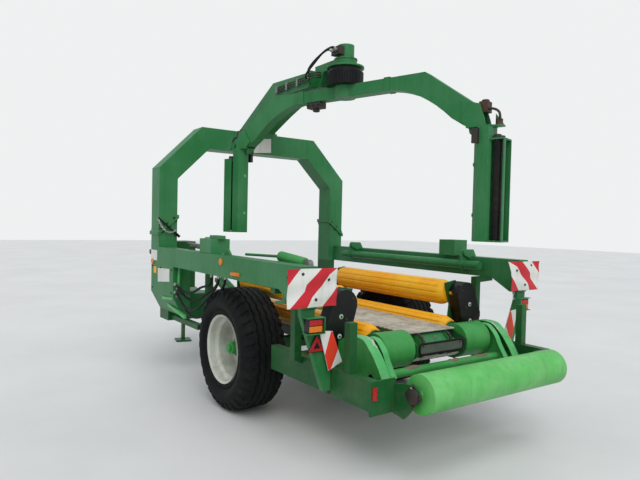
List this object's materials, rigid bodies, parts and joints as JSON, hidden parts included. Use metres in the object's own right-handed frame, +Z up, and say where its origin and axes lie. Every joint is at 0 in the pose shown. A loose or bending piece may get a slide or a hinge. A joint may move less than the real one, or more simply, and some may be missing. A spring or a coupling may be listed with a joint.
{
  "type": "trailed bale wrapper",
  "caption": "Trailed bale wrapper: arch frame with a slewing wrapping arm and film columns over a roller and chain-belt table, on two wheels, drawbar and jack.",
  "frame": {"origin": "on the ground, in the middle of the machine's width and of its length from the rear roller to the towing eye; the wheel axle lies behind it", "axes": "+X to the right, +Y forward along the direction of travel, +Z up"},
  "size_m": [2.583, 5.8578, 3.318],
  "materials": {
    "frame_green": "satin paint, worn",
    "roller_green": "satin paint, scuffed",
    "roller_yellow": "satin",
    "cover_black": "satin",
    "tyre": "matte",
    "rim": "satin, dusty",
    "slats": "worn",
    "steel": "bright",
    "flap_rubber": "matte",
    "sign": "reflective",
    "lamp": "gloss",
    "ring_dark": "oiled",
    "hub_green": "satin"
  },
  "bodies": {
    "chassis": {"side_beams": "frame_green", "arch_legs": "frame_green", "arch_crown": "frame_green", "neck": "frame_green", "slew_motor": "frame_green", "lower_frame": "frame_green", "frame_posts": "frame_green", "roller_plates": "frame_green", "axle_beam": "frame_green", "front_frame": "frame_green", "front_brackets": "frame_green", "rear_corners": "frame_green", "guide_webs": "roller_green", "conveyor_frame": "frame_green", "conveyor_belt": "slats", "end_flap": "flap_rubber", "marker_brackets": "frame_green", "marker_boards": "sign", "rear_lamps": "lamp", "chain_covers": "cover_black", "front_cover": "frame_green", "cut_hold_units": "frame_green", "oil_tank": "frame_green", "rail_hangers": "frame_green"},
    "drawbar": {"drawbar": "frame_green", "tow_eye": "steel", "parking_jack": "frame_green"},
    "swing_barrel": {"swing_barrel": "frame_green"},
    "swing_rod": {"swing_rod": "steel"},
    "loading_arm": {"loading_arm": "frame_green"},
    "clamp_arm": {"clamp_arm": "frame_green"},
    "lift_barrel": {"lift_barrel": "frame_green"},
    "lift_rod": {"lift_rod": "steel"},
    "wheel_left": {"tyre_left": "tyre", "rim_left": "rim", "hub_left": "hub_green"},
    "wheel_right": {"tyre_right": "tyre", "rim_right": "rim", "hub_right": "hub_green"},
    "wrapping_arm": {"slew_ring": "ring_dark", "wrapping_arm": "frame_green", "film_columns": "frame_green"},
    "film_roller_front_a": {"film_roller_front_a": "steel"},
    "film_roller_front_b": {"film_roller_front_b": "steel"},
    "film_roller_rear_a": {"film_roller_rear_a": "steel"},
    "film_roller_rear_b": {"film_roller_rear_b": "steel"},
    "upper_roller_left": {"upper_roller_left": "roller_yellow"},
    "lower_roller_left": {"lower_roller_left": "roller_yellow"},
    "upper_roller_right": {"upper_roller_right": "roller_yellow"},
    "lower_roller_right": {"lower_roller_right": "roller_yellow"},
    "end_drums": {"end_drums": "roller_green"},
    "rear_roller": {"rear_roller": "roller_green"},
    "side_rail": {"side_rail": "frame_green"}
  },
  "joints": [
    {"name": "drawbar_swing", "type": "hinge", "parent": "chassis", "child": "drawbar", "pos_m": [-0.45, 0.87408, 0.62], "axis": [0, 0, 1], "range_deg": [0, 30]},
    {"name": "swing_barrel_turn", "type": "hinge", "parent": "chassis", "child": "swing_barrel", "pos_m": [0.06, 0.85908, 0.62], "axis": [0, 0, 1], "range_deg": [-1, 20.21]},
    {"name": "swing_rod_slide", "type": "slide", "parent": "swing_barrel", "child": "swing_rod", "axis": [-0.3748, 0.9271, 0], "range_m": [-0.005, 0.2267]},
    {"name": "loader_lift", "type": "hinge", "parent": "chassis", "child": "loading_arm", "pos_m": [0.6, 0.95408, 0.82], "axis": [1, 0, 0], "range_deg": [-35, 0]},
    {"name": "lift_barrel_turn", "type": "hinge", "parent": "chassis", "child": "lift_barrel", "pos_m": [0.6, 0.86408, 0.56], "axis": [1, 0, 0], "range_deg": [-17.43, 1]},
    {"name": "lift_rod_slide", "type": "slide", "parent": "lift_barrel", "child": "lift_rod", "axis": [0, 0.7669, 0.6418], "range_m": [-0.111, 0.005]},
    {"name": "clamp_slide", "type": "slide", "parent": "loading_arm", "child": "clamp_arm", "axis": [1, 0, 0], "range_m": [0, 0.14]},
    {"name": "wheel_left_spin", "type": "hinge", "parent": "chassis", "child": "wheel_left", "pos_m": [-0.908, -0.77192, 0.5365], "axis": [1, 0, 0], "continuous": true},
    {"name": "wheel_right_spin", "type": "hinge", "parent": "chassis", "child": "wheel_right", "pos_m": [0.908, -0.77192, 0.5365], "axis": [1, 0, 0], "continuous": true},
    {"name": "arm_slew", "type": "hinge", "parent": "chassis", "child": "wrapping_arm", "pos_m": [0, -1.04192, 3], "axis": [0, 0, 1], "continuous": true},
    {"name": "film_rear_a_spin", "type": "hinge", "parent": "wrapping_arm", "child": "film_roller_rear_a", "pos_m": [0.38771, -2.48949, 2], "axis": [0, 0, 1], "continuous": true},
    {"name": "film_rear_b_spin", "type": "hinge", "parent": "wrapping_arm", "child": "film_roller_rear_b", "pos_m": [0.46821, -2.46549, 2], "axis": [0, 0, 1], "continuous": true},
    {"name": "film_front_a_spin", "type": "hinge", "parent": "wrapping_arm", "child": "film_roller_front_a", "pos_m": [-0.38771, 0.40564, 2], "axis": [0, 0, 1], "continuous": true},
    {"name": "film_front_b_spin", "type": "hinge", "parent": "wrapping_arm", "child": "film_roller_front_b", "pos_m": [-0.46821, 0.38165, 2], "axis": [0, 0, 1], "continuous": true},
    {"name": "upper_left_spin", "type": "hinge", "parent": "chassis", "child": "upper_roller_left", "pos_m": [-0.588, -0.97192, 1.07], "axis": [0, 1, 0], "continuous": true},
    {"name": "lower_left_spin", "type": "hinge", "parent": "chassis", "child": "lower_roller_left", "pos_m": [-0.42, -0.97192, 0.8], "axis": [0, 1, 0], "continuous": true},
    {"name": "upper_right_spin", "type": "hinge", "parent": "chassis", "child": "upper_roller_right", "pos_m": [0.588, -0.97192, 1.07], "axis": [0, 1, 0], "continuous": true},
    {"name": "lower_right_spin", "type": "hinge", "parent": "chassis", "child": "lower_roller_right", "pos_m": [0.42, -0.97192, 0.8], "axis": [0, 1, 0], "continuous": true},
    {"name": "drums_spin", "type": "hinge", "parent": "chassis", "child": "end_drums", "pos_m": [0, -2.20192, 0.74], "axis": [1, 0, 0], "continuous": true},
    {"name": "rear_roller_spin", "type": "hinge", "parent": "chassis", "child": "rear_roller", "pos_m": [0, -2.80192, 0.609], "axis": [1, 0, 0], "continuous": true},
    {"name": "side_rail_swing", "type": "hinge", "parent": "chassis", "child": "side_rail", "pos_m": [1, -0.77192, 1.41], "axis": [0, 1, 0], "range_deg": [0, 35]}
  ],
  "couplings": [
    {"joint": "swing_barrel_turn", "follows": "drawbar_swing", "ratio": 0.64021},
    {"joint": "swing_rod_slide", "follows": "drawbar_swing", "m_per_rad": 0.42347},
    {"joint": "lift_barrel_turn", "follows": "loader_lift", "ratio": 0.46955},
    {"joint": "lift_rod_slide", "follows": "loader_lift", "m_per_rad": 0.17346},
    {"joint": "film_rear_b_spin", "follows": "film_rear_a_spin", "ratio": -1.7},
    {"joint": "film_front_b_spin", "follows": "film_front_a_spin", "ratio": -1.7},
    {"joint": "lower_left_spin", "follows": "upper_left_spin", "ratio": 1},
    {"joint": "lower_right_spin", "follows": "upper_right_spin", "ratio": 1}
  ]
}
